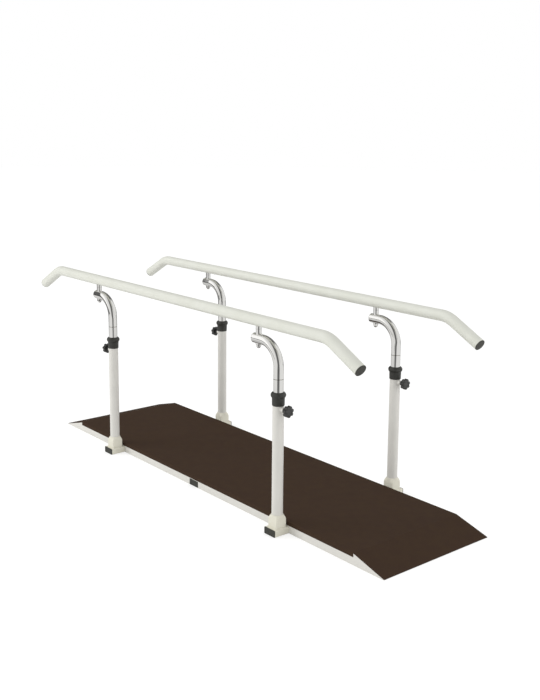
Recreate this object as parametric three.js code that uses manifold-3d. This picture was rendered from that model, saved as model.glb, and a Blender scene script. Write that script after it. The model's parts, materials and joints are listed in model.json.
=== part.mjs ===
// Walking parallel bars: two handrails carried by four posts on a low platform with a ramp at each end.
// Millimetres, +Z up, +X along the bars, origin on the floor at the middle of the platform.
// Near is -Y and far is +Y, left is -X and right is +X.

import * as THREE from 'three';
import { mergeVertices } from 'three/addons/utils/BufferGeometryUtils.js';
import Module from 'manifold-3d';

// Clearances between pieces
const SEAT_GAP = 0.3;
const RUNNING_GAP = 0.5;
const CUT_OVERRUN = 2;

// Platform
const DECK_LENGTH = 1890;
const DECK_WIDTH = 546;
const DECK_HEIGHT = 43.5;
const RAMP_RUN = 145;
const RAMP_LIP = 1;
const COVERING_THICKNESS = 2.5;
const SHEET_THICKNESS = 2;
const SIDE_PLATE_HEIGHT = 28.5;
const SIDE_FLANGE_WIDTH = 30;

// Cross tubes and their end plugs
const CROSS_TUBE_WIDTH = 60;
const CROSS_TUBE_WALL = 2;
const CROSS_TUBE_CORNER = 3;
const OUTRIGGER_PAST_POST = 37;
const PLUG_HEAD = 3;
const PLUG_SPIGOT = 14;

// Posts and the sockets that hold them
const POST_SPACING_ALONG = 1155;
const POST_DIAMETER = 42;
const POST_WALL = 1.5;
const SOCKET_WIDTH = 48;
const SOCKET_STANDOFF = 8;
const SOCKET_CORNER = 3;
const SOCKET_HEIGHT = 49;
const SOCKET_SHOULDER = 20;
const SOCKET_FLOOR = 4;
const SOCKET_RIM = 1.2;

// Collars that cap the posts
const COLLAR_HEIGHT = 52;
const COLLAR_BEAD_DIAMETER = 57;
const COLLAR_BEAD_HEIGHT = 24;
const COLLAR_BODY_DIAMETER = 47.5;
const COLLAR_FOOT_DIAMETER = 46;
const COLLAR_FOOT_CHAMFER = 1;
const COLLAR_LIP = 14;

// Clamp knobs
const CLAMP_DROP = 10;
const BOSS_DIAMETER = 18;
const BOSS_LENGTH = 12;
const STUD_DIAMETER = 10;
const PAD_LENGTH = 4;
const KNOB_DIAMETER = 45;
const KNOB_THICKNESS = 18;
const KNOB_LOBES = 7;
const KNOB_LOBE_DEPTH = 4.4;
const KNOB_EDGE = 4;
const KNOB_HUB_DIAMETER = 20;
const KNOB_HUB_LENGTH = 9;
const KNOB_STANDOFF = 5;
const KNOB_DISH_DEPTH = 1.5;

// Arms: bent tubes that telescope and turn in the posts
const ARM_DIAMETER = 38;
const ARM_WALL = 2;
const ARM_LEG = 454;
const ARM_LEG_SHOWN = 84.75;
const ARM_BEND_RADIUS = 90;
const ARM_REACH = 115;
const ARM_TIP = 25;
const ARM_END_DISC = 3;
const ARM_END_EDGE = 2.5;
const SLEEVE_DIAMETER = 22;
const SLEEVE_FOOT = 2;
const BUSH_FLANGE = 6;
const BUSH_SPIGOT = 25;
const BUSH_LEAD_IN = 1;

// Handrails and the pivots under them
const RAIL_DIAMETER = 44.5;
const RAIL_WALL = 2;
const RAIL_HEIGHT = 782;
const RAIL_STRAIGHT = 1902;
const RAIL_END_LENGTH = 174;
const RAIL_END_ANGLE = THREE.MathUtils.degToRad(28);
const RAIL_BEND_RADIUS = 120;
const RAIL_STANDOFF = 26.5;
const RAIL_PLUG_HEAD = 3;
const RAIL_PLUG_EDGE = 1.2;
const RAIL_PLUG_SPIGOT = 20;
const PIN_DIAMETER = 12;
const PIN_SHOULDER = 9;
const NUT_FLATS = 18;
const NUT_HEIGHT = 7;
const NUT_DOME_HEIGHT = 8;
const NUT_DOME_WALL = 1.5;

// Facets round a tube, a small turned piece, a square corner and a bend
const TUBE_SIDES = 20;
const BORE_SIDES = 16;
const SMALL_SIDES = 12;
const NUT_SIDES = 6;
const CORNER_STEPS = 2;
const BEAD_STEPS = 4;
const ARM_BEND_STEPS = 5;
const RAIL_BEND_STEPS = 3;
const LOBE_STEPS = 5;
const SOCKET_STEPS = 3;

// Places that follow from the sizes above
const deckHalf = DECK_LENGTH / 2;
const rampFoot = deckHalf + RAMP_RUN;
const rampSlope = (DECK_HEIGHT - RAMP_LIP) / RAMP_RUN;
const rampTilt = Math.hypot(1, rampSlope);
const crossTubeHeight = SIDE_PLATE_HEIGHT - SHEET_THICKNESS - SEAT_GAP;
const postSpacingAcross = DECK_WIDTH + SOCKET_WIDTH + 2 * SOCKET_STANDOFF;
const outriggerLength = postSpacingAcross + 2 * OUTRIGGER_PAST_POST;
const armRadius = ARM_DIAMETER / 2;
const armBore = armRadius - ARM_WALL;
const railRadius = RAIL_DIAMETER / 2;
const armHeight = RAIL_HEIGHT - railRadius - RAIL_STANDOFF - armRadius;
const armFoot = armHeight - ARM_BEND_RADIUS - ARM_LEG;
const collarTop = armHeight - ARM_BEND_RADIUS - ARM_LEG_SHOWN;
const collarFoot = collarTop - COLLAR_HEIGHT;
const socketBase = crossTubeHeight + SEAT_GAP;
const socketTop = socketBase + SOCKET_HEIGHT;
const postRadius = POST_DIAMETER / 2;
const postBore = postRadius - POST_WALL;
const postFoot = socketBase + SOCKET_FLOOR + SEAT_GAP;
const postTop = collarTop - COLLAR_LIP - SEAT_GAP;
const clampHeight = collarFoot - CLAMP_DROP;
const pinSeat = RAIL_HEIGHT - railRadius - PIN_SHOULDER;
const sleeveFoot = armHeight - armRadius - SLEEVE_FOOT;
const sleeveTop = pinSeat - SEAT_GAP;
const studRadius = STUD_DIAMETER / 2;
const pinRadius = PIN_DIAMETER / 2;
const bossEnd = postRadius + BOSS_LENGTH;
const hubStart = bossEnd + KNOB_STANDOFF;
const headStart = hubStart + KNOB_HUB_LENGTH;

const wasm = await Module();
wasm.setup();

function finish(color, roughness, metalness) {
  return new THREE.MeshStandardMaterial({ color, roughness, metalness });
}

const whiteEnamel = finish('#e4e3dc', 0.35, 0);
const creamEnamel = finish('#dcdac8', 0.45, 0);
const railEnamel = finish('#e2e3da', 0.4, 0);
const brownRubber = finish('#3e302a', 0.85, 0);
const plywood = finish('#b08a5c', 0.7, 0);
const greyPlastic = finish('#4b4b45', 0.6, 0);
const blackPlastic = finish('#2b2b28', 0.5, 0);
const nylon = finish('#d8d6cc', 0.5, 0);
const brass = finish('#b59a55', 0.35, 1);
const chrome = finish('#d7d9da', 0.08, 1);

// A closed geometry as a solid for cutting and joining, without the triangles that collapse on an axis.
function solid(geometry) {
  geometry.deleteAttribute('normal');
  geometry.deleteAttribute('uv');
  const merged = mergeVertices(geometry);
  const corners = merged.index.array;
  const kept = [];
  for (let i = 0; i < corners.length; i += 3) {
    const [a, b, c] = corners.slice(i, i + 3);
    if (a !== b && b !== c && c !== a) kept.push(a, b, c);
  }
  return new wasm.Manifold(new wasm.Mesh({
    numProp: 3,
    vertProperties: merged.attributes.position.array,
    triVerts: new Uint32Array(kept),
  }));
}

// A named mesh with the surface of a solid.
function piece(name, body, material) {
  const mesh = body.getMesh();
  const geometry = new THREE.BufferGeometry();
  geometry.setAttribute('position', new THREE.BufferAttribute(mesh.vertProperties, 3));
  geometry.setIndex(new THREE.BufferAttribute(mesh.triVerts, 1));
  geometry.computeVertexNormals();
  const result = new THREE.Mesh(geometry, material);
  result.name = name;
  return result;
}

// A solid turned about +Z. The profile lists [radius, height] and closes on itself or ends on the axis.
function turned(profile, sides = TUBE_SIDES) {
  const points = profile.map(([radius, height]) => new THREE.Vector2(radius, height));
  return solid(new THREE.LatheGeometry(points, sides).rotateX(Math.PI / 2));
}

// A plain round bar on +Z between two heights.
function bar(radius, low, high, sides = SMALL_SIDES) {
  return turned([[0, low], [radius, low], [radius, high], [0, high]], sides);
}

// A shape drawn in X and Z, given a width along Y and centred on Y = 0.
function across(shape, width) {
  const settings = { depth: width, bevelEnabled: false, curveSegments: CORNER_STEPS };
  const geometry = new THREE.ExtrudeGeometry(shape, settings);
  return solid(geometry.rotateX(Math.PI / 2).translate(0, width / 2, 0));
}

function outline(points) {
  return new THREE.Shape(points.map(([x, z]) => new THREE.Vector2(x, z)));
}

function box(width, depth, height) {
  return solid(new THREE.BoxGeometry(width, depth, height));
}

// A rectangle with rounded corners, standing on Z = 0 in the X and Z plane.
function roundedRectangle(width, height, radius) {
  const half = width / 2;
  const path = new THREE.Shape();
  path.absarc(half - radius, radius, radius, -Math.PI / 2, 0);
  path.absarc(half - radius, height - radius, radius, 0, Math.PI / 2);
  path.absarc(radius - half, height - radius, radius, Math.PI / 2, Math.PI);
  path.absarc(radius - half, radius, radius, Math.PI, 1.5 * Math.PI);
  path.closePath();
  return path;
}

// A stack of rings with equal numbers of points, bottom to top, closed by a flat face at each end.
function lofted(rings) {
  const count = rings[0].length;
  const points = rings.flat();
  const faces = [];
  for (let k = 0; k + 1 < rings.length; k += 1) {
    for (let i = 0; i < count; i += 1) {
      const a = k * count + i;
      const b = k * count + (i + 1) % count;
      faces.push(a, b, b + count, a, b + count, a + count);
    }
  }
  const top = (rings.length - 1) * count;
  const middle = (ring) => ring.reduce((sum, p) => sum.add(p), new THREE.Vector3()).divideScalar(count);
  points.push(middle(rings[0]), middle(rings[rings.length - 1]));
  for (let i = 0; i < count; i += 1) {
    const j = (i + 1) % count;
    faces.push(j, i, points.length - 2, top + i, top + j, points.length - 1);
  }
  const geometry = new THREE.BufferGeometry().setFromPoints(points);
  geometry.setIndex(faces);
  return solid(geometry);
}

// A path of straight runs and round bends in the X and Z plane, with its own list of places for rings.
class BentPath extends THREE.Curve {
  constructor(start, heading) {
    super();
    this.places = [{ point: start.clone(), heading }];
  }

  get end() {
    return this.places[this.places.length - 1];
  }

  // Heading 0 points along +X and a quarter turn points along +Z.
  static direction(heading) {
    return new THREE.Vector3(Math.cos(heading), 0, Math.sin(heading));
  }

  straight(length) {
    const { point, heading } = this.end;
    const next = point.clone().addScaledVector(BentPath.direction(heading), length);
    this.places.push({ point: next, heading });
    return this;
  }

  bend(radius, turn, steps) {
    const { point, heading } = this.end;
    const side = Math.sign(turn) * Math.PI / 2;
    const centre = point.clone().addScaledVector(BentPath.direction(heading + side), radius);
    for (let i = 1; i <= steps; i += 1) {
      const now = heading + turn * i / steps;
      const next = centre.clone().addScaledVector(BentPath.direction(now - side), radius);
      this.places.push({ point: next, heading: now });
    }
    return this;
  }

  place(share) {
    return this.places[Math.round(share * (this.places.length - 1))];
  }

  getPoint(share) {
    return this.place(share).point.clone();
  }

  getPointAt(share) {
    return this.getPoint(share);
  }

  getTangentAt(share) {
    return BentPath.direction(this.place(share).heading);
  }
}

function circle(radius, sides) {
  const points = [];
  for (let i = 0; i < sides; i += 1) {
    const angle = 2 * Math.PI * i / sides;
    points.push(new THREE.Vector2(radius * Math.cos(angle), radius * Math.sin(angle)));
  }
  return points;
}

// A round tube bent along a path, open at both ends.
function bentTube(path, radius, wall) {
  const ring = new THREE.Shape(circle(radius, TUBE_SIDES));
  ring.holes.push(new THREE.Path(circle(radius - wall, BORE_SIDES)));
  return solid(new THREE.ExtrudeGeometry(ring, { steps: path.places.length - 1, extrudePath: path }));
}

// Height of the walking surface on the ramp at a distance from the middle of the platform.
function rampHeight(x) {
  return RAMP_LIP + rampSlope * (rampFoot - x);
}

// Distance from the middle at which a line that lies below the ramp's surface reaches a height.
function rampReach(below, height) {
  return rampFoot - (height + below * rampTilt - RAMP_LIP) / rampSlope;
}

function sidePlate(name) {
  const notchHalf = CROSS_TUBE_WIDTH / 2 + SEAT_GAP;
  const notchTop = crossTubeHeight + SEAT_GAP;
  const edge = [[rampFoot, 0], [rampFoot, RAMP_LIP], [deckHalf, DECK_HEIGHT], [deckHalf, SIDE_PLATE_HEIGHT],
    [-deckHalf, SIDE_PLATE_HEIGHT], [-deckHalf, DECK_HEIGHT], [-rampFoot, RAMP_LIP], [-rampFoot, 0]];
  for (const x of [-POST_SPACING_ALONG / 2, 0, POST_SPACING_ALONG / 2]) {
    edge.push([x - notchHalf, 0], [x - notchHalf, notchTop], [x + notchHalf, notchTop], [x + notchHalf, 0]);
  }
  const web = across(outline(edge), SHEET_THICKNESS).translate(0, (SHEET_THICKNESS - DECK_WIDTH) / 2, 0);
  const flange = box(DECK_LENGTH - 2 * SEAT_GAP, SIDE_FLANGE_WIDTH, SHEET_THICKNESS)
    .translate(0, (SIDE_FLANGE_WIDTH - DECK_WIDTH) / 2, SIDE_PLATE_HEIGHT - SHEET_THICKNESS / 2);
  return piece(name, web.add(flange), whiteEnamel);
}

function deckBoard() {
  const under = SIDE_PLATE_HEIGHT + SEAT_GAP;
  const thickness = DECK_HEIGHT - COVERING_THICKNESS - SEAT_GAP - under;
  const width = DECK_WIDTH - 2 * (COVERING_THICKNESS + SEAT_GAP);
  const board = box(DECK_LENGTH - 2 * SEAT_GAP, width, thickness).translate(0, 0, under + thickness / 2);
  return piece('deck_board', board, plywood);
}

// The rubber sheet lies on the deck, turns down over its long edges and runs down both ramps.
function deckCovering() {
  const under = DECK_HEIGHT - COVERING_THICKNESS;
  const toe = rampReach(COVERING_THICKNESS, 0);
  const crease = rampReach(COVERING_THICKNESS, under);
  const half = [[toe, 0], [rampFoot, 0], [rampFoot, RAMP_LIP], [deckHalf, DECK_HEIGHT]];
  const mirrored = half.map(([x, z]) => [-x, z]).reverse();
  const strip = across(outline([[crease, under], ...half, ...mirrored, [-crease, under]]),
    DECK_WIDTH - 2 * (SHEET_THICKNESS + SEAT_GAP));
  const length = DECK_LENGTH - 2 * SEAT_GAP;
  const top = box(length, DECK_WIDTH, COVERING_THICKNESS).translate(0, 0, under + COVERING_THICKNESS / 2);
  const skirtFoot = SIDE_PLATE_HEIGHT + SEAT_GAP;
  const skirtHeight = DECK_HEIGHT - skirtFoot;
  const skirt = box(length, COVERING_THICKNESS, skirtHeight).translate(0, 0, skirtFoot + skirtHeight / 2);
  const edge = (DECK_WIDTH - COVERING_THICKNESS) / 2;
  const skirts = skirt.translate(0, edge, 0).add(skirt.translate(0, -edge, 0));
  return piece('deck_covering', strip.add(top).add(skirts), brownRubber);
}

// A sheet folded into a ramp and the upright that carries its high edge.
function rampPlate(name) {
  const start = deckHalf + SEAT_GAP;
  const cover = COVERING_THICKNESS + SEAT_GAP;
  const under = cover + SHEET_THICKNESS;
  const inner = start + SHEET_THICKNESS;
  const profile = outline([[start, 0], [inner, 0], [inner, rampHeight(inner) - under * rampTilt],
    [rampReach(under, 0), 0], [rampReach(cover, 0), 0], [start, rampHeight(start) - cover * rampTilt]]);
  return piece(name, across(profile, DECK_WIDTH - 2 * (SHEET_THICKNESS + SEAT_GAP)), whiteEnamel);
}

function crossTube(name, overall) {
  const shape = roundedRectangle(CROSS_TUBE_WIDTH, crossTubeHeight, CROSS_TUBE_CORNER);
  const hollow = roundedRectangle(CROSS_TUBE_WIDTH - 2 * CROSS_TUBE_WALL,
    crossTubeHeight - 2 * CROSS_TUBE_WALL, CROSS_TUBE_CORNER - CROSS_TUBE_WALL);
  const length = overall - 2 * (PLUG_HEAD + SEAT_GAP);
  const bore = across(hollow, length + CUT_OVERRUN).translate(0, 0, CROSS_TUBE_WALL);
  return piece(name, across(shape, length).subtract(bore), creamEnamel);
}

// A moulded plug on the end of a cross tube, with its face at the distance given from the middle.
function crossTubePlug(name, reach) {
  const inset = CROSS_TUBE_WALL + SEAT_GAP;
  const shape = roundedRectangle(CROSS_TUBE_WIDTH, crossTubeHeight, CROSS_TUBE_CORNER);
  const head = across(shape, PLUG_HEAD).translate(0, PLUG_HEAD / 2 - reach, 0);
  const spigotShape = roundedRectangle(CROSS_TUBE_WIDTH - 2 * inset, crossTubeHeight - 2 * inset,
    CROSS_TUBE_CORNER / 2);
  const spigot = across(spigotShape, PLUG_SPIGOT + PLUG_HEAD)
    .translate(0, (PLUG_SPIGOT + PLUG_HEAD) / 2 - reach, inset);
  return piece(name, head.add(spigot), greyPlastic);
}

// A block with rounded corners whose shoulders close in to a round rim about the post.
function postSocket(name) {
  const rim = postRadius + RUNNING_GAP + SOCKET_RIM;
  const half = SOCKET_WIDTH / 2;
  const shoulderFoot = socketTop - SOCKET_SHOULDER;
  const ring = (blend, height) => {
    const points = [];
    for (let i = 0; i < TUBE_SIDES; i += 1) {
      const angle = 2 * Math.PI * (i + 1 / 2) / TUBE_SIDES;
      const x = Math.cos(angle);
      const y = Math.sin(angle);
      const core = new THREE.Vector3(half - SOCKET_CORNER, half - SOCKET_CORNER, 0);
      const square = new THREE.Vector3(x, y, 0).multiplyScalar(half / Math.max(Math.abs(x), Math.abs(y)));
      const corner = square.clone().clamp(core.clone().negate(), core);
      const away = square.sub(corner);
      const rounded = corner.addScaledVector(away.normalize(), SOCKET_CORNER);
      points.push(rounded.lerp(new THREE.Vector3(x * rim, y * rim, 0), blend).setZ(height));
    }
    return points;
  };
  const rings = [ring(0, socketBase), ring(0, shoulderFoot)];
  for (let i = 1; i <= SOCKET_STEPS; i += 1) {
    const share = i / SOCKET_STEPS;
    rings.push(ring(1 - Math.cos(share * Math.PI / 2), shoulderFoot + SOCKET_SHOULDER * share));
  }
  const bore = bar(postRadius + SEAT_GAP, socketBase + SOCKET_FLOOR, socketTop + CUT_OVERRUN, TUBE_SIDES);
  return piece(name, lofted(rings).subtract(bore), creamEnamel);
}

// A tube with a threaded boss welded to its outward side for the clamp stud.
function post(name) {
  const tube = turned([[postBore, postFoot], [postRadius, postFoot], [postRadius, postTop],
    [postBore, postTop], [postBore, postFoot]]);
  const boss = bar(BOSS_DIAMETER / 2, postRadius - POST_WALL / 2, bossEnd);
  const hole = bar(studRadius + SEAT_GAP, armBore, bossEnd + CUT_OVERRUN);
  const outward = (body) => body.rotate([0, 90, 0]).translate(0, 0, clampHeight);
  const core = bar(postBore, postFoot, postTop, TUBE_SIDES);
  return piece(name, tube.add(outward(boss).subtract(core)).subtract(outward(hole)), whiteEnamel);
}

// A moulded collar with a fat bead at its top, seated over the end of the post.
function collar(name) {
  const bore = postRadius + SEAT_GAP;
  const neck = armRadius + RUNNING_GAP;
  const bead = COLLAR_BEAD_HEIGHT / 2;
  const centre = COLLAR_BEAD_DIAMETER / 2 - bead;
  const beadMiddle = collarTop - bead;
  const body = COLLAR_BODY_DIAMETER / 2;
  const foot = COLLAR_FOOT_DIAMETER / 2;
  const low = -Math.acos((body - centre) / bead);
  const high = Math.acos((neck + COLLAR_FOOT_CHAMFER - centre) / bead);
  const profile = [[bore, collarFoot], [foot - COLLAR_FOOT_CHAMFER, collarFoot],
    [foot, collarFoot + COLLAR_FOOT_CHAMFER]];
  for (let i = 0; i <= BEAD_STEPS; i += 1) {
    const angle = low + (high - low) * i / BEAD_STEPS;
    profile.push([centre + bead * Math.cos(angle), beadMiddle + bead * Math.sin(angle)]);
  }
  const top = beadMiddle + bead * Math.sin(high);
  profile.push([neck, top], [neck, postTop + SEAT_GAP], [bore, postTop + SEAT_GAP], [bore, collarFoot]);
  return piece(name, turned(profile), blackPlastic);
}

// A pad at the tip of the clamp stud, inside the boss, that bears on the arm without turning.
function clampPad(name) {
  const pad = bar(studRadius, armRadius + SEAT_GAP, armRadius + SEAT_GAP + PAD_LENGTH);
  return piece(name, pad.rotate([0, 90, 0]).translate(0, 0, clampHeight), brass);
}

// A lobed head and hub moulded on a threaded stud.
function clampKnob(name) {
  const wave = KNOB_LOBE_DEPTH / 2;
  const reach = KNOB_DIAMETER / 2;
  const ring = (inset, height) => {
    const points = [];
    for (let i = 0; i < KNOB_LOBES * LOBE_STEPS; i += 1) {
      const turn = i / (KNOB_LOBES * LOBE_STEPS);
      const angle = 2 * Math.PI * turn;
      const radius = reach - wave - inset + wave * Math.cos(KNOB_LOBES * angle);
      points.push(new THREE.Vector3(radius * Math.cos(angle), radius * Math.sin(angle), height));
    }
    return points;
  };
  const end = headStart + KNOB_THICKNESS;
  const head = lofted([ring(KNOB_EDGE / 2, headStart), ring(0, headStart + KNOB_EDGE),
    ring(0, end - KNOB_EDGE), ring(KNOB_EDGE, end)]);
  const dishRadius = KNOB_HUB_DIAMETER / 2;
  const dish = turned([[0, end - KNOB_DISH_DEPTH], [dishRadius - KNOB_DISH_DEPTH, end - KNOB_DISH_DEPTH],
    [dishRadius + CUT_OVERRUN, end + CUT_OVERRUN], [0, end + CUT_OVERRUN]], SMALL_SIDES);
  const hub = bar(KNOB_HUB_DIAMETER / 2, hubStart, headStart + KNOB_EDGE);
  const stud = bar(studRadius, armRadius + PAD_LENGTH + 2 * SEAT_GAP, headStart);
  const knob = head.add(hub).add(stud).subtract(dish);
  return piece(name, knob.rotate([0, 90, 0]).translate(0, 0, clampHeight), blackPlastic);
}

// A nylon bush in the arm's lower end, on which the arm turns and which slides in the post.
function guideBush(name) {
  const spigot = armBore - RUNNING_GAP;
  const seat = armFoot - SEAT_GAP;
  const low = seat - BUSH_FLANGE;
  const high = seat + BUSH_SPIGOT;
  const profile = [[0, low], [armRadius, low], [armRadius, seat], [spigot, seat],
    [spigot, high - BUSH_LEAD_IN], [spigot - BUSH_LEAD_IN, high], [0, high]];
  return piece(name, turned(profile, BORE_SIDES), nylon);
}

// A chromed tube bent through a right angle, closed at its tip, with an upright sleeve for the rail's pin.
function arm(name) {
  const path = new BentPath(new THREE.Vector3(0, 0, armFoot), Math.PI / 2)
    .straight(ARM_LEG)
    .bend(ARM_BEND_RADIUS, Math.PI / 2, ARM_BEND_STEPS)
    .straight(ARM_REACH + ARM_TIP - ARM_BEND_RADIUS - ARM_END_DISC);
  const tip = ARM_REACH + ARM_TIP;
  const tubeEnd = tip - ARM_END_DISC;
  const step = armRadius - ARM_WALL / 2;
  const disc = turned([[0, tubeEnd - ARM_END_EDGE], [step, tubeEnd - ARM_END_EDGE], [step, tubeEnd],
    [armRadius, tubeEnd], [armRadius, tip - ARM_END_EDGE], [armRadius - ARM_END_EDGE, tip], [0, tip]]);
  const sleeve = bar(SLEEVE_DIAMETER / 2, sleeveFoot, sleeveTop, BORE_SIDES).translate(-ARM_REACH, 0, 0);
  const bore = bar(pinRadius + RUNNING_GAP, sleeveFoot - CUT_OVERRUN, sleeveTop + CUT_OVERRUN)
    .translate(-ARM_REACH, 0, 0);
  const tube = bentTube(path, armRadius, ARM_WALL).add(disc.rotate([0, -90, 0]).translate(0, 0, armHeight));
  return piece(name, tube.add(sleeve).subtract(bore), chrome);
}

// A painted tube with both ends bent down.
function handrail(name) {
  const tangent = RAIL_BEND_RADIUS * Math.tan(RAIL_END_ANGLE / 2);
  const half = RAIL_STRAIGHT / 2;
  const start = new THREE.Vector3(-half - RAIL_END_LENGTH * Math.cos(RAIL_END_ANGLE), 0,
    RAIL_HEIGHT - RAIL_END_LENGTH * Math.sin(RAIL_END_ANGLE));
  const path = new BentPath(start, RAIL_END_ANGLE)
    .straight(RAIL_END_LENGTH - tangent)
    .bend(RAIL_BEND_RADIUS, -RAIL_END_ANGLE, RAIL_BEND_STEPS)
    .straight(RAIL_STRAIGHT - 2 * tangent)
    .bend(RAIL_BEND_RADIUS, -RAIL_END_ANGLE, RAIL_BEND_STEPS)
    .straight(RAIL_END_LENGTH - tangent);
  return piece(name, bentTube(path, railRadius, RAIL_WALL), railEnamel);
}

// A moulded plug in the end of a handrail, drawn on +Z with its seat at the origin.
function railPlug(name, side) {
  const spigot = railRadius - RAIL_WALL - RUNNING_GAP;
  const seat = SEAT_GAP;
  const face = seat + RAIL_PLUG_HEAD;
  const plug = turned([[0, seat - RAIL_PLUG_SPIGOT], [spigot, seat - RAIL_PLUG_SPIGOT], [spigot, seat],
    [railRadius, seat], [railRadius, face - RAIL_PLUG_EDGE], [railRadius - RAIL_PLUG_EDGE, face],
    [0, face]]);
  const reach = RAIL_STRAIGHT / 2 + RAIL_END_LENGTH * Math.cos(RAIL_END_ANGLE);
  const result = piece(name, plug, greyPlastic);
  result.rotation.y = side * (Math.PI / 2 + RAIL_END_ANGLE);
  result.position.set(side * reach, 0, RAIL_HEIGHT - RAIL_END_LENGTH * Math.sin(RAIL_END_ANGLE));
  return result;
}

// A shouldered pin under the rail, saddled to the rail's underside, that turns in the arm's sleeve.
function railPin(name) {
  const shoulder = bar(SLEEVE_DIAMETER / 2, pinSeat, RAIL_HEIGHT - railRadius + PIN_SHOULDER, BORE_SIDES);
  const saddle = bar(railRadius + SEAT_GAP, -SLEEVE_DIAMETER, SLEEVE_DIAMETER, TUBE_SIDES)
    .rotate([0, 90, 0]).translate(0, 0, RAIL_HEIGHT);
  const shaft = bar(pinRadius, sleeveFoot - NUT_HEIGHT, pinSeat + PIN_SHOULDER / 2);
  return piece(name, shoulder.subtract(saddle).add(shaft), chrome);
}

// A domed nut on the pin's lower end.
function domeNut(name) {
  const top = sleeveFoot - SEAT_GAP;
  const low = top - NUT_HEIGHT;
  const domeRadius = NUT_FLATS / 2;
  const hexagon = bar(domeRadius / Math.cos(Math.PI / NUT_SIDES), low, top, NUT_SIDES);
  const dome = [[0, low - NUT_DOME_HEIGHT]];
  for (let i = 1; i <= CORNER_STEPS + 1; i += 1) {
    const angle = Math.PI / 2 * i / (CORNER_STEPS + 1);
    dome.push([domeRadius * Math.sin(angle), low - NUT_DOME_HEIGHT * Math.cos(angle)]);
  }
  const cap = turned([...dome, [domeRadius, low + NUT_DOME_WALL], [0, low + NUT_DOME_WALL]], SMALL_SIDES);
  const bore = bar(pinRadius + SEAT_GAP, sleeveFoot - NUT_HEIGHT - SEAT_GAP, top + CUT_OVERRUN);
  return piece(name, hexagon.add(cap).subtract(bore), chrome);
}

function platform() {
  const group = new THREE.Group();
  const farPlate = sidePlate('far_side_plate');
  farPlate.rotation.z = Math.PI;
  const leftRamp = rampPlate('left_ramp_plate');
  leftRamp.rotation.z = Math.PI;
  group.add(sidePlate('near_side_plate'), farPlate, rampPlate('right_ramp_plate'), leftRamp);
  group.add(deckBoard(), deckCovering());
  const tubes = [['left', -POST_SPACING_ALONG / 2, outriggerLength], ['middle', 0, DECK_WIDTH],
    ['right', POST_SPACING_ALONG / 2, outriggerLength]];
  for (const [place, x, length] of tubes) {
    const nearPlug = crossTubePlug(`${place}_cross_tube_near_plug`, length / 2);
    const farPlug = crossTubePlug(`${place}_cross_tube_far_plug`, length / 2);
    farPlug.rotation.z = Math.PI;
    const row = new THREE.Group();
    row.add(crossTube(`${place}_cross_tube`, length), nearPlug, farPlug);
    row.position.x = x;
    group.add(row);
  }
  return group;
}

// One corner: the post with its socket, collar and clamp, and the arm that telescopes in it.
function corner(name, end) {
  const group = new THREE.Group();
  const clamped = new THREE.Group();
  clamped.add(post(`${name}_post`), clampPad(`${name}_clamp_pad`), clampKnob(`${name}_clamp_knob`));
  clamped.rotation.z = end > 0 ? 0 : Math.PI;
  const pivot = new THREE.Group();
  pivot.add(railPin(`${name}_pivot_pin`), domeNut(`${name}_pivot_nut`));
  pivot.position.x = -ARM_REACH;
  group.add(clamped, postSocket(`${name}_post_socket`), collar(`${name}_collar`));
  group.add(guideBush(`${name}_guide_bush`), arm(`${name}_arm`), pivot);
  group.position.x = end * POST_SPACING_ALONG / 2;
  return group;
}

// One side: two corners and the handrail that they carry.
function side(name, y) {
  const group = new THREE.Group();
  const rail = new THREE.Group();
  rail.add(handrail(`${name}_handrail`), railPlug(`${name}_handrail_left_plug`, -1),
    railPlug(`${name}_handrail_right_plug`, 1));
  rail.position.x = -ARM_REACH;
  group.add(corner(`${name}_left`, -1), corner(`${name}_right`, 1), rail);
  group.position.y = y;
  return group;
}

const parallelBars = new THREE.Group();
parallelBars.name = 'parallel_bars';
parallelBars.add(platform(), side('near', -postSpacingAcross / 2), side('far', postSpacingAcross / 2));

export default parallelBars;
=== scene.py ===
import json
import math

import bpy
import numpy as np
from mathutils import Matrix, Vector

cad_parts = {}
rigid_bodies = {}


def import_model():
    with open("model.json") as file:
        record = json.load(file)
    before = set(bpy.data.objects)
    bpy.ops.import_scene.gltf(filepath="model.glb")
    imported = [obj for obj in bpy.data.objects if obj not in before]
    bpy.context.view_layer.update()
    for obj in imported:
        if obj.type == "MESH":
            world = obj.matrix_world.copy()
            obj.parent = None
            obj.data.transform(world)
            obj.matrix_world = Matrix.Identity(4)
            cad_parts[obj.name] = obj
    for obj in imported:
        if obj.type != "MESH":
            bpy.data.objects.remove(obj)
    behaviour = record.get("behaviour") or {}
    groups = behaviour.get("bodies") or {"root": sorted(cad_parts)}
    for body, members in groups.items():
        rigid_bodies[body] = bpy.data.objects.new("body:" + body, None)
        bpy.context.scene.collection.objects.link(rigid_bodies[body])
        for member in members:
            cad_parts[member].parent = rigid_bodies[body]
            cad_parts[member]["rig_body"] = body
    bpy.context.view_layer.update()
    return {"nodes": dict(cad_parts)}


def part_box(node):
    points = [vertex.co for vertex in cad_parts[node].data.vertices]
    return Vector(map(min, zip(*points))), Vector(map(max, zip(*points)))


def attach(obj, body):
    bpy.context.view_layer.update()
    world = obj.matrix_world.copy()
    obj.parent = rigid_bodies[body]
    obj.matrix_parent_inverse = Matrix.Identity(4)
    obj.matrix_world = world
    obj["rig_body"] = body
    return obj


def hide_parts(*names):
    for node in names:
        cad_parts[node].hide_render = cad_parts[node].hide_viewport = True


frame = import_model()

# Walking parallel bars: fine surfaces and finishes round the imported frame.
# Metres, +Z up, +X along the bars. Sizes are written in millimetres times MM.
MM = 0.001

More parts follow.
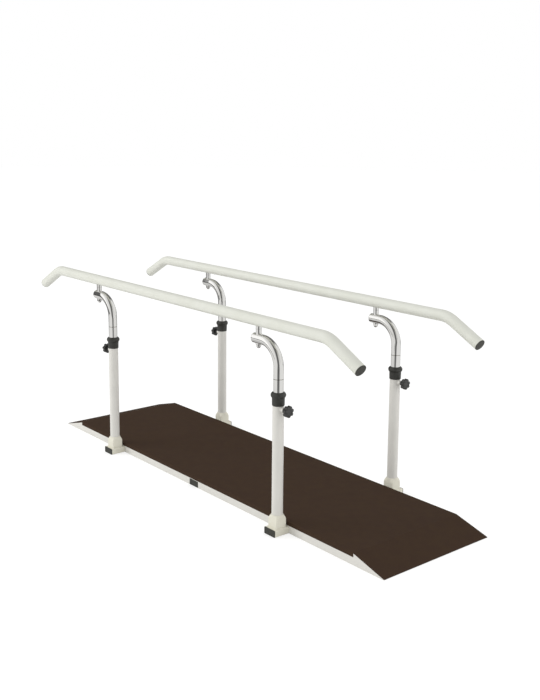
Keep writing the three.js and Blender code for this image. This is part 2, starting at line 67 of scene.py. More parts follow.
# Camera, fitted to the photograph's frame of 540 by 700 pixels
FRAME_WIDTH = 540
FRAME_HEIGHT = 700
AXIS_PIXEL = (276, 290)
FOCAL_PIXELS = 972.6
CAMERA_PLACE = (3.1659, -2.4903, 1.4849)
CAMERA_YAW = math.radians(50.034)
CAMERA_PITCH = math.radians(-9.6445)
CAMERA_ROLL = math.radians(0.548)
SENSOR_WIDTH = 36
ACROSS = (math.cos(CAMERA_YAW), math.sin(CAMERA_YAW), 0.0)
FORWARD = (-math.sin(CAMERA_YAW), math.cos(CAMERA_YAW), 0.0)

# Studio. A span is where a change starts and where it ends.
WHITE = (1, 1, 1, 1)
FLOOR_RADIUS = 30
FLOOR_DROP = 0.2 * MM
FLOOR_SHOWN = 0.5
FLOOR_WHITE = 1.25
FLOOR_GLOW = 0.85
GLOW_SPAN = (1.6, 3.2)
SKY_LEVEL = 0.82
LIGHT_AIM = (0, 0, 0.4)
KEY_PLACE = (-5.6, -6.0, 4.0)
KEY_SIZE = 4.8
KEY_POWER = 290
FILL_PLACE = (3.4, 1.0, 0.6)
FILL_SIZE = 1.6
FILL_POWER = 15

# Painted reflections, which only the metal mirrors and which light nothing: a bright bank at the left, a
# dark gap over the camera that is wider behind, a dark strip of floor from under the camera to the horizon,
# a dark end at the far left, and painted shade on the floor, dimmer behind the part and greyer near the
# part
MIRROR_LEVEL = 0.85
BANK_LEVEL = 1.2
BANK_HEADING = (-0.76, -0.61, 0.22)
BANK_SPAN = (0.82, 0.95)
GAP_SHADE = 0.16
GAP_SPAN = (0.2, 0.5)
GAP_WIDENING = 0.35
BACKDROP_SLOPE = 0.4
BACKDROP_EDGE = 0.06
STRIP_SPAN = (1.0, 1.7)
STRIP_LEAST_REACH = 0.1
END_SHADE = 0.1
END_SPAN = (-0.775, -0.81)
END_FLOOR_SPAN = (-2.8, -4.0)
BACK_SHADE = 0.6
BACK_SPAN = (0.7, 2.1)
FLOOR_SHADE = 0.5
SHADE_SPAN = (0.7, 2.4)

# Shares of a noise pattern between which a colour or a number drifts
COLOUR_SPAN = (0.35, 0.65)
NUMBER_SPAN = (0.3, 0.7)

# Facets round a tube and a small turned piece, and steps in a fillet and in a bend
TUBE_SIDES = 72
SMALL_SIDES = 48
FILLET_STEPS = 6
EDGE_STEPS = 3
BEND_STEPS = 40
BEAD_SIDES = 12

# Clearance between pieces and the small radius that every cut edge has
SEAT_GAP = 0.3 * MM
EDGE = 0.4 * MM

# Edges sharper than these angles stay sharp, or are bevelled on the side plates; points closer than the
# last distance count as one
SHARP_ANGLE = math.radians(38)
COVERING_SHARP_ANGLE = math.radians(50)
BEVEL_ANGLE = math.radians(40)
BEVEL_SEGMENTS = 2
SAME_POINT = 1e-9

# Platform
TUBE_PLACES = ("left", "middle", "right")
COVERING_THICKNESS = 2.5 * MM
COVERING_FOLD = 2.2 * MM
COVERING_SIDE_GAP = 2.3 * MM
RAMP_RUN = 145 * MM
RAMP_LIP = 1 * MM
COVERING_TOE = 3.2 * MM
CHEEK_DROP = 2 * MM
PLATE_THICKNESS = 2 * MM
SHEET_EDGE = 0.5 * MM
TUBE_WALL = 2 * MM
CROSS_TUBE_CORNER = 3 * MM
PLUG_HEAD = 3 * MM
PLUG_EDGE = 1 * MM
PLUG_DISH = 0.6 * MM
PLUG_RIM = 3.5 * MM

# Posts, sockets and collars
POST_WALL = 1.5 * MM
SOCKET_CORNER = 3 * MM
SOCKET_CORNER_SWEEP = math.radians(4)
SOCKET_SHOULDER = 20 * MM
SOCKET_RIM = 1.2 * MM
SOCKET_FLOOR = 4 * MM
SOCKET_WELD = 2.2 * MM
SOCKET_WELD_RIPPLES = 24
WELD_RIPPLE = 0.06
COLLAR_BEAD_HEIGHT = 24 * MM
COLLAR_BODY_RADIUS = 23.75 * MM
COLLAR_FOOT_RADIUS = 23 * MM
COLLAR_LIP = 14 * MM
COLLAR_EDGE = 2 * MM
COLLAR_MOUTH = 1 * MM
ARM_CLEARANCE = 0.5 * MM

# Clamp knobs
BOSS_RADIUS = 9 * MM
BOSS_EDGE = 0.8 * MM
BOSS_WELD = 1.6 * MM
BOSS_WELD_RIPPLE = 0.08
BOSS_WELD_RIPPLES = 16
STUD_RADIUS = 5 * MM
KNOB_THICKNESS = 18 * MM
KNOB_LOBES = 7
KNOB_LOBE_SIDES = 24
KNOB_LOBE_DEPTH = 4.4 * MM
KNOB_LOBE_POWER = 2.0
KNOB_EDGE = 4.5 * MM
KNOB_CROWN = 1.2 * MM
KNOB_CROWN_STEPS = 8
KNOB_HUB_RADIUS = 10 * MM
KNOB_HUB_LENGTH = 12.5 * MM
KNOB_DISH_DEPTH = 1.5 * MM

# Arms
ARM_WALL = 2 * MM
ARM_BEND_RADIUS = 90 * MM
ARM_TIP = 25 * MM
ARM_TIP_EDGE = 2.5 * MM
ARM_END_DISC = 3 * MM
SLEEVE_RADIUS = 11 * MM
SLEEVE_FOOT = 2 * MM
SLEEVE_BORE = 6.5 * MM
SLEEVE_WELD = 1.5 * MM
SLEEVE_WELD_RIPPLES = 20
MARK_DROP = 128 * MM
MARK_PITCH = 50 * MM
MARK_COUNT = 8
MARK_WIDTH = 2.4 * MM
MARK_WIDTH_SHARES = (-0.5, -0.2, 0.2, 0.5)
MARK_DEPTH = 0.6 * MM

# Handrails and their pivots
RAIL_WALL = 2 * MM
RAIL_END_LENGTH = 174 * MM
RAIL_END_ANGLE = math.radians(28)
RAIL_BEND_RADIUS = 120 * MM
RAIL_STANDOFF = 26.5 * MM
RAIL_PLUG_HEAD = 3 * MM
RAIL_PLUG_EDGE = 1.2 * MM
RAIL_PLUG_CROWN = 1 * MM
RAIL_PLUG_SPIGOT = 20 * MM
PIN_RADIUS = 6 * MM
PIN_SHOULDER = 9 * MM
NUT_APOTHEM = 9 * MM
NUT_HEIGHT = 7 * MM
NUT_CHAMFER_SHARES = (1.02, 1.2, 1.2, 1.02)
NUT_LEVEL_SHARES = (0, 1 / 6, 5 / 6, 1)
NUT_DOME_HEIGHT = 8 * MM
NUT_DOME_SHARE = 0.96
NUT_DOME_SPAN = (0.08, 1)

X_AXIS = np.array([1.0, 0.0, 0.0])
Y_AXIS = np.array([0.0, 1.0, 0.0])
Z_AXIS = np.array([0.0, 0.0, 1.0])


# Outlines and surfaces

def unit(vectors):
    """Vectors divided by their lengths."""
    return vectors / np.linalg.norm(vectors, axis=-1, keepdims=True)


def angles(count):
    """Equal angles round a full turn."""
    return np.arange(count) * 2 * np.pi / count


def filleted(points, radii, closed=False, steps=FILLET_STEPS):
    """Outline with arcs for corners: an arc starts radius times the tangent of half the turn before the
    corner, its centre is one radius to the inner side, and its points are the start turned evenly about
    that centre."""
    corners = np.asarray(points, float)
    radius = np.array(np.broadcast_to(radii, len(corners)), float)
    if not closed:
        radius[[0, -1]] = 0
    into = unit(corners - np.roll(corners, 1, 0))
    out = unit(np.roll(corners, -1, 0) - corners)
    turn = np.arctan2(into[:, 0] * out[:, 1] - into[:, 1] * out[:, 0], (into * out).sum(1))
    start = corners - into * (radius * np.tan(np.abs(turn) / 2))[:, None]
    inward = np.stack([-into[:, 1], into[:, 0]], 1) * np.sign(turn)[:, None]
    centre = start + inward * radius[:, None]
    spoke = -inward * radius[:, None]
    angle = turn[:, None] * np.linspace(0, 1, steps)
    x = centre[:, :1] + spoke[:, :1] * np.cos(angle) - spoke[:, 1:] * np.sin(angle)
    y = centre[:, 1:] + spoke[:, :1] * np.sin(angle) + spoke[:, 1:] * np.cos(angle)
    line = np.stack([x.ravel(), y.ravel()], 1)
    return line[np.linalg.norm(line - np.roll(line, 1, 0), axis=1) > SAME_POINT]


def skin(grid, wrap=False, poles=(None, None)):
    """Faces over a grid of points in rows and columns: each joins four neighbours, and columns close on
    themselves. Rows close too if wrap is set, and otherwise each end row closes in a fan about its pole
    or its mean point."""
    rows, columns = grid.shape[:2]
    index = np.arange(rows * columns).reshape(rows, columns)
    low = index if wrap else index[:-1]
    high = np.roll(index, -1, 0) if wrap else index[1:]
    quads = np.stack([low, np.roll(low, -1, 1), np.roll(high, -1, 1), high], -1).reshape(-1, 4)
    points = grid.reshape(-1, 3)
    if wrap:
        return points, [quads]
    ends = [row.mean(0) if pole is None else pole for row, pole in zip(grid[[0, -1]], poles)]
    first = np.stack([np.roll(index[0], -1), index[0], np.full(columns, len(points))], 1)
    last = np.stack([index[-1], np.roll(index[-1], -1), np.full(columns, len(points) + 1)], 1)
    return np.vstack([points, ends]), [quads, first, last]


def turned(outline, sides=TUBE_SIDES):
    """Surface of revolution about +Z: each outline point of a radius and a height becomes a ring. An
    outline whose ends lie on the axis has poles there, and any other outline closes on itself."""
    outline = np.asarray(outline, float)
    turn = angles(sides)
    ring = np.stack([np.cos(turn), np.sin(turn), np.zeros(sides)], 1)
    grid = outline[:, :1, None] * ring + outline[:, 1:, None] * Z_AXIS
    if outline[0, 0] > 0:
        return skin(grid, wrap=True)
    return skin(grid[1:-1], poles=(grid[0, 0], grid[-1, 0]))


def ringed(radius, height, turn):
    """Points about +Z at a radius for each row and angle, and at a height for each row."""
    level = np.broadcast_to(height, radius.shape)
    return np.stack([radius * np.cos(turn), radius * np.sin(turn), level], 2)


def bent_path(distance, start, heading, runs):
    """Places and directions along a path in the X and Z plane. Each run has a length and a turn: the
    heading grows by the turn in proportion to the distance covered, and the place moves along a straight
    line or round a circle."""
    place = np.tile(np.asarray(start, float), (len(distance), 1))
    facing = np.full(len(distance), heading, float)
    begun = 0.0
    for length, turn in runs:
        covered = np.clip(distance - begun, 0, length)
        if turn:
            radius = length / turn
            now = heading + covered / radius
            place[:, 0] += radius * (np.sin(now) - math.sin(heading))
            place[:, 2] += radius * (math.cos(heading) - np.cos(now))
        else:
            place[:, 0] += covered * math.cos(heading)
            place[:, 2] += covered * math.sin(heading)
        facing += turn * covered / length
        heading += turn
        begun += length
    return place, np.stack([np.cos(facing), np.zeros(len(distance)), np.sin(facing)], 1)


def rings_along(place, direction, radius, sides=TUBE_SIDES):
    """Rings about a path in the X and Z plane: each point is the place plus the radius times the cosine
    of its angle along Y and the sine along the direction crossed with Y."""
    turn = angles(sides)[None, :, None]
    side = np.cross(direction, Y_AXIS)[:, None]
    return place[:, None] + radius[:, None, None] * (np.cos(turn) * Y_AXIS + np.sin(turn) * side)


def rounded_rectangle(width, height, radius, steps=FILLET_STEPS):
    """Closed outline of a rectangle centred on the origin, with a quarter circle at each corner."""
    x = width / 2
    y = height / 2
    return filleted([(x, -y), (x, y), (-x, y), (-x, -y)], radius, closed=True, steps=steps)


def lofted(outlines, heights, wrap=False):
    """Surface through flat outlines with equal numbers of points, each at its own height on +Z."""
    outlines = np.asarray(outlines)
    levels = np.broadcast_to(np.asarray(heights, float)[:, None, None], outlines.shape[:2] + (1,))
    return skin(np.concatenate([outlines, levels], 2), wrap=wrap)


def bead_along(curve, radius, ripple, ripples):
    """A weld bead: a round tube along a closed curve, whose radius swells and shrinks evenly along it."""
    along = unit(np.roll(curve, -1, 0) - np.roll(curve, 1, 0))
    middle = curve.mean(0)
    outward = unit(curve - middle - ((curve - middle) * along).sum(1, keepdims=True) * along)
    up = np.cross(along, outward)
    swell = radius * (1 + ripple * np.cos(ripples * angles(len(curve))))[:, None, None]
    turn = angles(BEAD_SIDES)[None, :, None]
    ring = np.cos(turn) * outward[:, None] + np.sin(turn) * up[:, None]
    return skin(curve[:, None] + swell * ring, wrap=True)


def placed(shell, matrix):
    """A shell's points moved by a matrix."""
    points, faces = shell
    turn = np.array(matrix.to_3x3())
    return points @ turn.T + np.array(matrix.translation), faces


def added(name, data):
    """An object with that data, linked to the scene."""
    thing = bpy.data.objects.new(name, data)
    bpy.context.scene.collection.objects.link(thing)
    return thing


def finished(name, shells, finish, sharp=SHARP_ANGLE):
    """One mesh of closed shells that stands for a CAD node, rides on its body and has its finish."""
    starts = np.cumsum([0] + [len(points) for points, _ in shells])
    points = np.vstack([points for points, _ in shells])
    faces = [face for (_, groups), start in zip(shells, starts) for group in groups
             for face in (group + start).tolist()]
    mesh = bpy.data.meshes.new(name + "_surface")
    mesh.from_pydata(points, [], faces)
    mesh.shade_smooth()
    mesh.set_sharp_from_angle(angle=sharp)
    mesh.materials.append(finish)
    piece = added("finished_" + name, mesh)
    flats = piece.modifiers.new("flats", "WEIGHTED_NORMAL")
    flats.keep_sharp = True
    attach(piece, frame["nodes"][name]["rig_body"])
    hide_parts(name)
    return piece


def kept(name, finish):
    """A CAD node that stays as it is, with its finish."""
    mesh = frame["nodes"][name].data
    mesh.materials.clear()
    mesh.materials.append(finish)


def turn_about(axis, degrees, place=(0, 0, 0)):
    """A turn about an axis through the origin, then a move to a place."""
    return Matrix.Translation(place) @ Matrix.Rotation(math.radians(degrees), 4, axis)


# Finishes

def linear(code):
    """An sRGB hex colour as linear red, green, blue and alpha."""
    share = np.array([int(code[i:i + 2], 16) for i in (1, 3, 5)]) / 255
    light = np.where(share <= 0.04045, share / 12.92, ((share + 0.055) / 1.055) ** 2.4)
    return (*light.tolist(), 1.0)


def node(tree, kind, inputs=(), **settings):
    """Adds a node of a kind, sets its properties, and gives its inputs a link or a value, by name or in
    order. A node that is given as a value stands for its first output."""
    made = tree.nodes.new("ShaderNode" + kind)
    for setting, value in settings.items():
        setattr(made, setting, value)
    for socket, value in inputs.items() if isinstance(inputs, dict) else enumerate(inputs):
        if isinstance(value, bpy.types.Node):
            value = value.outputs[0]
        if isinstance(value, bpy.types.NodeSocket):
            tree.links.new(value, made.inputs[socket])
        else:
            made.inputs[socket].default_value = value
    return made


def cleared(owner):
    """The node tree of a material or a world, without any nodes."""
    owner.use_nodes = True
    owner.node_tree.nodes.clear()
    return owner.node_tree


def new_finish(name):
    """An empty material, its node tree and its Object coordinates."""
    material = bpy.data.materials.new(name)
    tree = cleared(material)
    return material, tree, node(tree, "TexCoord").outputs["Object"]


def surface(tree, inputs):
    """The main shader with its inputs, joined to the material's output."""
    node(tree, "OutputMaterial", {"Surface": node(tree, "BsdfPrincipled", inputs)})


def per_size(size):
    """Scale of a noise pattern whose features are about that size."""
    return 1 / size


def mottled(tree, place, codes, size, detail=3.0):
    """Colour that drifts between two hex colours over patches of a size."""
    noise = node(tree, "TexNoise", {"Vector": place, "Scale": per_size(size), "Detail": detail})
    ramp = node(tree, "ValToRGB", {"Fac": noise})
    for stop, position, code in zip(ramp.color_ramp.elements, COLOUR_SPAN, codes):
        stop.position = position
        stop.color = linear(code)
    return ramp


def spread(tree, place, size, low, high, detail=3.0):
    """A number that drifts between two values over patches of a size."""
    noise = node(tree, "TexNoise", {"Vector": place, "Scale": per_size(size), "Detail": detail})
    return node(tree, "MapRange", (noise, *NUMBER_SPAN, low, high))


def powder_coat(name, codes, roughness):
    """Polyester powder coat on steel: an even, half-gloss paint with a fine orange peel of about 2 mm."""
    material, tree, place = new_finish(name)
    peel = node(tree, "TexNoise", {"Vector": place, "Scale": per_size(2.2 * MM), "Detail": 2.0})
    surface(tree, {
        "Base Color": mottled(tree, place, codes, 60 * MM),
        "Roughness": spread(tree, place, 25 * MM, roughness - 0.04, roughness + 0.04),
        "IOR": 1.5,
        "Normal": node(tree, "Bump", {"Height": peel, "Strength": 0.12, "Distance": 0.1 * MM}),
    })
    return material


def marked(tree, place, metal, top):
    """The metal's colour, but dull grey in the grooves of the height marks: each is a pitch below the
    next, from the top one down."""
    height = node(tree, "SeparateXYZ", {"Vector": place}).outputs["Z"]
    above = node(tree, "Math", (height, top), operation="SUBTRACT")
    nearest = node(tree, "Math", (above, MARK_PITCH / 2), operation="PINGPONG")
    inside = node(tree, "Math", (nearest, MARK_WIDTH / 2), operation="LESS_THAN")
    low = node(tree, "Math", (above, MARK_WIDTH), operation="LESS_THAN")
    groove = node(tree, "Math", (inside, low), operation="MULTIPLY")
    mixed = node(tree, "Mix", {0: groove, 6: metal, 7: linear("#A5A299")}, data_type="RGBA")
    return mixed.outputs[2]


def chrome_plate(name, mark_top=None):
    """Decorative chrome plate on polished tube: mirror bright, with faint polishing lines along the
    metal."""
    material, tree, place = new_finish(name)
    metal = linear("#E9E8E5")
    lines = node(tree, "TexNoise", {"Vector": place, "Scale": per_size(9 * MM), "Detail": 4.0})
    surface(tree, {
        "Base Color": metal if mark_top is None else marked(tree, place, metal, mark_top),
        "Metallic": 1.0,
        "Roughness": spread(tree, place, 14 * MM, 0.045, 0.085),
        "Normal": node(tree, "Bump", {"Height": lines, "Strength": 0.05, "Distance": 0.05 * MM}),
    })
    return material


def rubber_sheet():
    """Calendered rubber flooring: matt and nearly black-brown, with a fine leathery grain of about 2 mm."""
    material, tree, place = new_finish("calendered_rubber_sheet")
    grain = node(tree, "TexVoronoi", {"Vector": place, "Scale": per_size(2.4 * MM), "Randomness": 1.0},
                 feature="SMOOTH_F1")
    fine = node(tree, "TexNoise", {"Vector": place, "Scale": per_size(0.9 * MM), "Detail": 3.0})
    height = node(tree, "Math", (grain, fine), operation="ADD")
    surface(tree, {
        "Base Color": mottled(tree, place, ("#403229", "#423429"), 35 * MM, detail=6.0),
        "Roughness": spread(tree, place, 120 * MM, 0.82, 0.92),
        "Specular IOR Level": 0.03,
        "Normal": node(tree, "Bump", {"Height": height, "Strength": 0.35, "Distance": 0.3 * MM}),
    })
    return material


def moulded_plastic(name, codes, roughness, shine=0.5):
    """Injection-moulded plastic with a spark-eroded texture of about 0.8 mm and slight swirls in its
    gloss."""
    material, tree, place = new_finish(name)
    grain = node(tree, "TexNoise", {"Vector": place, "Scale": per_size(0.8 * MM), "Detail": 2.0})
    surface(tree, {
        "Base Color": mottled(tree, place, codes, 12 * MM),
        "Roughness": spread(tree, place, 8 * MM, roughness - 0.06, roughness + 0.06),
        "Specular IOR Level": shine,
        "Normal": node(tree, "Bump", {"Height": grain, "Strength": 0.2, "Distance": 0.08 * MM}),
    })
    return material


def birch_plywood():
    """Rotary-cut birch face veneer: pale brown, with long soft grain along the board and a sanded, matt
    surface."""
    material, tree, place = new_finish("birch_plywood")
    stretched = node(tree, "Mapping", {"Vector": place, "Scale": (0.06, 1.0, 1.0)})
    grain = node(tree, "TexNoise", {"Vector": stretched, "Scale": per_size(6 * MM), "Detail": 6.0,
                                    "Distortion": 1.5})
    ramp = node(tree, "ValToRGB", {"Fac": grain})
    for stop, position, code in zip(ramp.color_ramp.elements, NUMBER_SPAN, ("#A9845A", "#CBAA7C")):
        stop.position = position
        stop.color = linear(code)
    surface(tree, {
        "Base Color": ramp,
        "Roughness": 0.62,
        "Normal": node(tree, "Bump", {"Height": grain, "Strength": 0.2, "Distance": 0.15 * MM}),
    })
    return material


def turned_brass():
    """Free-cutting brass as turned: golden, with fine tool rings of about 0.3 mm."""
    material, tree, place = new_finish("turned_brass")
    rings = node(tree, "TexNoise", {"Vector": place, "Scale": per_size(0.3 * MM), "Detail": 1.0})
    surface(tree, {
        "Base Color": mottled(tree, place, ("#B8964A", "#C6A55A"), 5 * MM),
        "Metallic": 1.0,
        "Roughness": 0.3,
        "Normal": node(tree, "Bump", {"Height": rings, "Strength": 0.15, "Distance": 0.03 * MM}),
    })
    return material


# Pieces of the platform

def measured(name):
    """Lowest corner, highest corner and middle of a CAD node."""
    low, high = (np.array(corner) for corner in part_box(name))
    return low, high, (low + high) / 2


def prism(outline, low, high):
    """A flat outline in X and Z carried straight along Y between two places, closed by its own outline at
    each end."""
    count = len(outline)
    x = np.tile(outline[:, 0], 2)
    z = np.tile(outline[:, 1], 2)
    points = np.stack([x, np.repeat([low, high], count), z], 1)
    index = np.arange(count)
    beyond = np.roll(index, -1)
    sides = np.stack([index, beyond, beyond + count, index + count], 1)
    return points, [sides, index[None, ::-1], index[None] + count]


def counter_clockwise(outline):
    """The outline turned round if its signed area says that it runs clockwise as seen from -Y."""
    x, z = outline.T
    area = (x * np.roll(z, -1) - np.roll(x, -1) * z).sum()
    return outline[::-1] if area > 0 else outline


def eased(piece):
    """Rounds the sharp edges of a piece with a bevel."""
    bevel = piece.modifiers.new("edges", "BEVEL")
    bevel.width = SHEET_EDGE
    bevel.segments = BEVEL_SEGMENTS
    bevel.limit_method = "ANGLE"
    bevel.angle_limit = BEVEL_ANGLE
    piece.modifiers.move(1, 0)
    return piece


def finish_side_plate(side, facing, finish):
    """A folded sheet: a web with a cheek at each ramp and a notch over each cross tube, and a flange
    under the deck."""
    name = f"{side}_side_plate"
    low, high, _ = measured(name)
    foot, top = high[0], high[2]
    deck = foot - RAMP_RUN
    plate_top = measured("deck_board")[0][2] - SEAT_GAP
    cheek_top = top - CHEEK_DROP
    outline = [(foot, 0), (foot, RAMP_LIP), (deck, cheek_top), (deck, plate_top),
               (-deck, plate_top), (-deck, cheek_top), (-foot, RAMP_LIP), (-foot, 0)]
    for place in TUBE_PLACES:
        tube_low, tube_high, _ = measured(f"{place}_cross_tube")
        west = tube_low[0] - SEAT_GAP
        east = tube_high[0] + SEAT_GAP
        notch = tube_high[2] + SEAT_GAP
        outline += [(west, 0), (west, notch), (east, notch), (east, 0)]
    outer = low[1] if facing < 0 else high[1]
    inner = outer - facing * PLATE_THICKNESS
    web = prism(counter_clockwise(np.array(outline)), *sorted((outer, inner)))
    flange_outer = outer - facing * SHEET_EDGE
    flange_inner = low[1] if facing > 0 else high[1]
    length = deck - SEAT_GAP
    under = plate_top - PLATE_THICKNESS
    strip = np.array([(-length, under), (length, under), (length, plate_top), (-length, plate_top)])
    flange = prism(counter_clockwise(strip), *sorted((flange_outer, flange_inner)))
    return eased(finished(name, [web, flange], finish))


def finish_covering(finish):
    """The sheet's section across the platform, carried along it. At each station the section has a half
    width, a top, a depth of its sides and a thickness, and its upper edges are folded round an arc. The
    sheet ends in a blunt edge at the foot of each ramp."""
    name = "deck_covering"
    foot, half, top = measured(name)[1]
    deck = foot - RAMP_RUN
    slope = (top - RAMP_LIP) / RAMP_RUN
    lower = COVERING_THICKNESS * math.hypot(1, slope)
    toe = foot - (lower - RAMP_LIP) / slope
    fall = (top - COVERING_TOE) / RAMP_RUN
    crease = top - COVERING_FOLD * fall
    heel = COVERING_TOE + (foot - toe) * fall
    skirt = top - measured("deck_board")[0][2]
    narrow = half - COVERING_SIDE_GAP
    stations = np.array([
        (deck - SEAT_GAP, half, top, skirt, COVERING_THICKNESS, COVERING_FOLD),
        (deck, narrow, top, COVERING_THICKNESS + SEAT_GAP, COVERING_THICKNESS, EDGE),
        (deck + COVERING_FOLD, narrow, crease, lower + SEAT_GAP, lower, EDGE),
        (toe, narrow, heel, heel, heel - SEAT_GAP, EDGE),
        (foot, narrow, COVERING_TOE, COVERING_TOE, COVERING_TOE - SEAT_GAP, EDGE),
    ])
    mirrored = stations[::-1] * np.array([-1, 1, 1, 1, 1, 1])
    x, width, level, depth, thick, fold = np.vstack([mirrored, stations]).T[:, :, None]
    arc = np.linspace(0, np.pi / 2, FILLET_STEPS)[None]
    arc_y = width - fold + fold * np.cos(arc)
    arc_z = level - fold + fold * np.sin(arc)
    inner = width - np.minimum(thick, COVERING_THICKNESS)
    y = np.hstack([width, arc_y, -arc_y[:, ::-1], -width, -inner, -inner, inner, inner])
    foot_z = level - depth
    under_z = level - thick
    z = np.hstack([foot_z, arc_z, arc_z[:, ::-1], foot_z, foot_z, under_z, under_z, foot_z])
    grid = np.stack([np.broadcast_to(x, y.shape), y, z], 2)
    return finished(name, [skin(grid)], finish, sharp=COVERING_SHARP_ANGLE)


def finish_cross_tube(place, finish):
    """A rounded rectangle with a bore, carried straight along Y."""
    name = f"{place}_cross_tube"
    low, high, middle = measured(name)
    width, length, height = high - low
    outer = rounded_rectangle(width, height, CROSS_TUBE_CORNER)
    bore_corner = CROSS_TUBE_CORNER - TUBE_WALL
    inner = rounded_rectangle(width - 2 * TUBE_WALL, height - 2 * TUBE_WALL, bore_corner)
    half = length / 2
    shell = lofted([outer, outer, inner, inner], [-half, half, half, -half], wrap=True)
    return finished(name, [placed(shell, turn_about("X", 90, middle))], finish)


def finish_cross_tube_plug(place, side, facing, finish):
    """A head with eased edges and a shallow dish, on a spigot that fits the tube's bore. It faces -1 or 1
    along Y."""
    name = f"{place}_cross_tube_{side}_plug"
    low, high, middle = measured(name)
    width, depth, height = high - low

    def outline(inset, radius):
        """The tube's outline moved in by an inset, with its own corner radius."""
        return rounded_rectangle(width - 2 * inset, height - 2 * inset, radius)

    corner = CROSS_TUBE_CORNER
    head = depth - PLUG_HEAD
    spigot = TUBE_WALL + SEAT_GAP
    rows = [(spigot, corner / 2, 0), (spigot, corner / 2, head), (0, corner, head),
            (0, corner, depth - PLUG_EDGE), (PLUG_EDGE / 3, corner, depth - PLUG_EDGE / 3),
            (PLUG_EDGE, corner, depth), (PLUG_RIM, corner / 2, depth),
            (PLUG_RIM + PLUG_DISH, corner / 3, depth - PLUG_DISH)]
    shell = lofted([outline(inset, radius) for inset, radius, _ in rows], [level for *_, level in rows])
    root = middle - np.array([0, facing * depth / 2, 0])
    return finished(name, [placed(shell, turn_about("X", -90 * facing, root))], finish)


# Pieces of a corner

def finish_socket(name, finish):
    """A block whose rounded square section passes into a circle up its shoulder, like a cosine, with a
    round bore."""
    low, high, middle = measured(name)
    half = (high[0] - low[0]) / 2
    height = high[2] - low[2]
    bore = post_radius + SEAT_GAP
    rim = bore + SOCKET_RIM
    sweep = np.linspace(-SOCKET_CORNER_SWEEP, SOCKET_CORNER_SWEEP, FILLET_STEPS)
    corners = (angles(4)[:, None] + np.pi / 4 + sweep).ravel()
    turn = np.sort(np.concatenate([angles(TUBE_SIDES) + np.pi / TUBE_SIDES, corners]))
    round_way = np.stack([np.cos(turn), np.sin(turn)], 1)
    square = round_way * (half / np.abs(round_way).max(1, keepdims=True))
    core = np.clip(square, SOCKET_CORNER - half, half - SOCKET_CORNER)
    block = core + unit(square - core) * SOCKET_CORNER
    share = np.linspace(0, 1, BEND_STEPS // 2)
    blend = (1 - np.cos(share * np.pi / 2))[:, None, None]
    shoulder = block * (1 - blend) + round_way * rim * blend
    shoulder_at = height - SOCKET_SHOULDER + SOCKET_SHOULDER * share * (1 - EDGE / SOCKET_SHOULDER)
    quarter = np.linspace(0, np.pi / 2, FILLET_STEPS)
    lip = round_way * (rim - EDGE * (1 - np.cos(quarter))[:, None, None])
    lip_at = height - EDGE + EDGE * np.sin(quarter)
    bored = np.stack([round_way * bore] * 2)
    outlines = np.vstack([block[None], shoulder, lip, bored])
    heights = np.concatenate([[0], shoulder_at, lip_at, [height, SOCKET_FLOOR]])
    foot_curve = np.concatenate([block, np.zeros((len(block), 1))], 1)
    bead = bead_along(foot_curve, SOCKET_WELD, WELD_RIPPLE, SOCKET_WELD_RIPPLES)
    move = Matrix.Translation((middle[0], middle[1], low[2]))
    shells = [placed(lofted(outlines, heights), move), placed(bead, move)]
    return finished(name, shells, finish)


def finish_post(name, outward, axis, finish):
    """A tube with a boss on its outward side. The boss starts on the curve where its circle meets the
    tube."""
    low, high, _ = measured(name)
    bore = post_radius - POST_WALL
    wall = [(bore, low[2]), (post_radius, low[2]), (post_radius, high[2]), (bore, high[2])]
    tube = turned(filleted(wall, EDGE, closed=True, steps=EDGE_STEPS))
    clamp = measured(name.replace("_post", "_clamp_knob"))[2][2]
    reach = abs((high[0] if outward > 0 else low[0]) - axis[0])
    turn = angles(SMALL_SIDES)
    ring = np.stack([np.zeros(SMALL_SIDES), np.cos(turn), np.sin(turn)], 1)
    outer = ring * BOSS_RADIUS
    inner = ring * (STUD_RADIUS + SEAT_GAP)
    on_tube = outer + np.sqrt(post_radius ** 2 - outer[:, 1] ** 2)[:, None] * X_AXIS
    in_tube = inner + np.sqrt(post_radius ** 2 - inner[:, 1] ** 2)[:, None] * X_AXIS
    sunk = POST_WALL / 2 * X_AXIS
    rows = [in_tube - sunk, on_tube - sunk, outer + (reach - BOSS_EDGE) * X_AXIS,
            outer * (1 - BOSS_EDGE / BOSS_RADIUS) + reach * X_AXIS, inner + reach * X_AXIS]
    boss = skin(np.array(rows), wrap=True)
    weld = bead_along(on_tube, BOSS_WELD, BOSS_WELD_RIPPLE, BOSS_WELD_RIPPLES)
    upright = Matrix.Translation((axis[0], axis[1], 0))
    place = turn_about("Z", 0 if outward > 0 else 180, (axis[0], axis[1], clamp))
    shells = [placed(tube, upright), placed(boss, place), placed(weld, place)]
    return finished(name, shells, finish)


